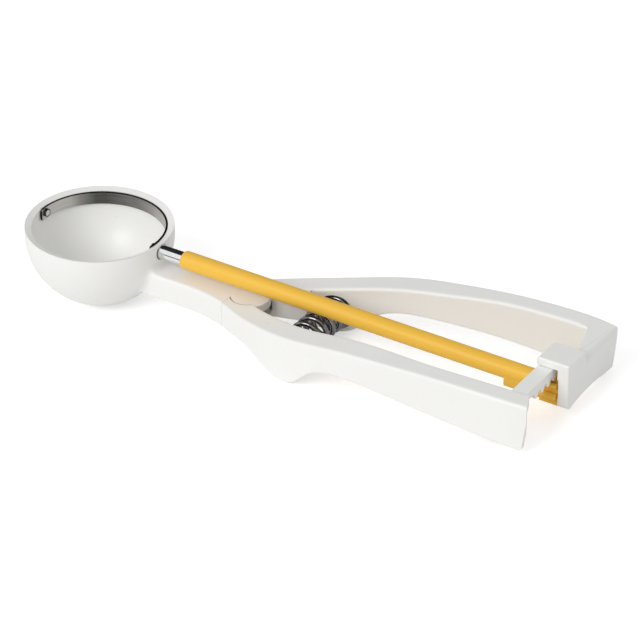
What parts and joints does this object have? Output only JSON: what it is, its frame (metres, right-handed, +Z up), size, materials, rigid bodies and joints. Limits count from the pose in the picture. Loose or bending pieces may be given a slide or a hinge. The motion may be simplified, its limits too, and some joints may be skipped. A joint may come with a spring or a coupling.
{
  "type": "lever ice cream scoop",
  "caption": "Plastic portion scoop with a half-ball bowl, squeeze lever, rack-driven yellow shaft and steel wiper blade.",
  "frame": {"origin": "bottom centre of the bounding box at rest: level with the bowl's lowest point, halfway along the length and the width", "axes": "+X along the shaft from the bowl to the handle's end, +Y towards the fixed lever, +Z up, the way the bowl opens"},
  "size_m": [0.2308, 0.0652, 0.0413],
  "materials": {
    "body_plastic": "smooth moulded, slight sheen",
    "lever_plastic": "smooth moulded, slight sheen",
    "pin_steel": "turned",
    "spring_steel": "dark oiled wire",
    "shaft_plastic": "satin moulded",
    "stub_chrome": "polished",
    "blade_steel": "brushed along its length",
    "rivet_steel": "peened"
  },
  "bodies": {
    "frame": {"scoop_body": "body_plastic", "pivot_pin": "pin_steel", "return_spring": "spring_steel"},
    "lever": {"squeeze_lever": "lever_plastic"},
    "shaft": {"pinion_shaft": "shaft_plastic", "blade_stub": "stub_chrome", "wiper_blade": "blade_steel", "tip_rivet": "rivet_steel"}
  },
  "joints": [
    {"name": "lever_squeeze", "type": "hinge", "parent": "frame", "child": "lever", "pos_m": [-0.0196, 0, 0.0172], "axis": [0, 0, 1], "range_deg": [0, 7.35], "stiffness_Nm_per_rad": 3, "springref_deg": -5.73, "deforming": ["return_spring"]},
    {"name": "wiper_turn", "type": "hinge", "parent": "frame", "child": "shaft", "pos_m": [-0.0872, 0, 0.0282], "axis": [1, 0, 0], "range_deg": [-171.8, 0]}
  ],
  "couplings": [
    {"joint": "wiper_turn", "follows": "lever_squeeze", "ratio": -23.319}
  ]
}
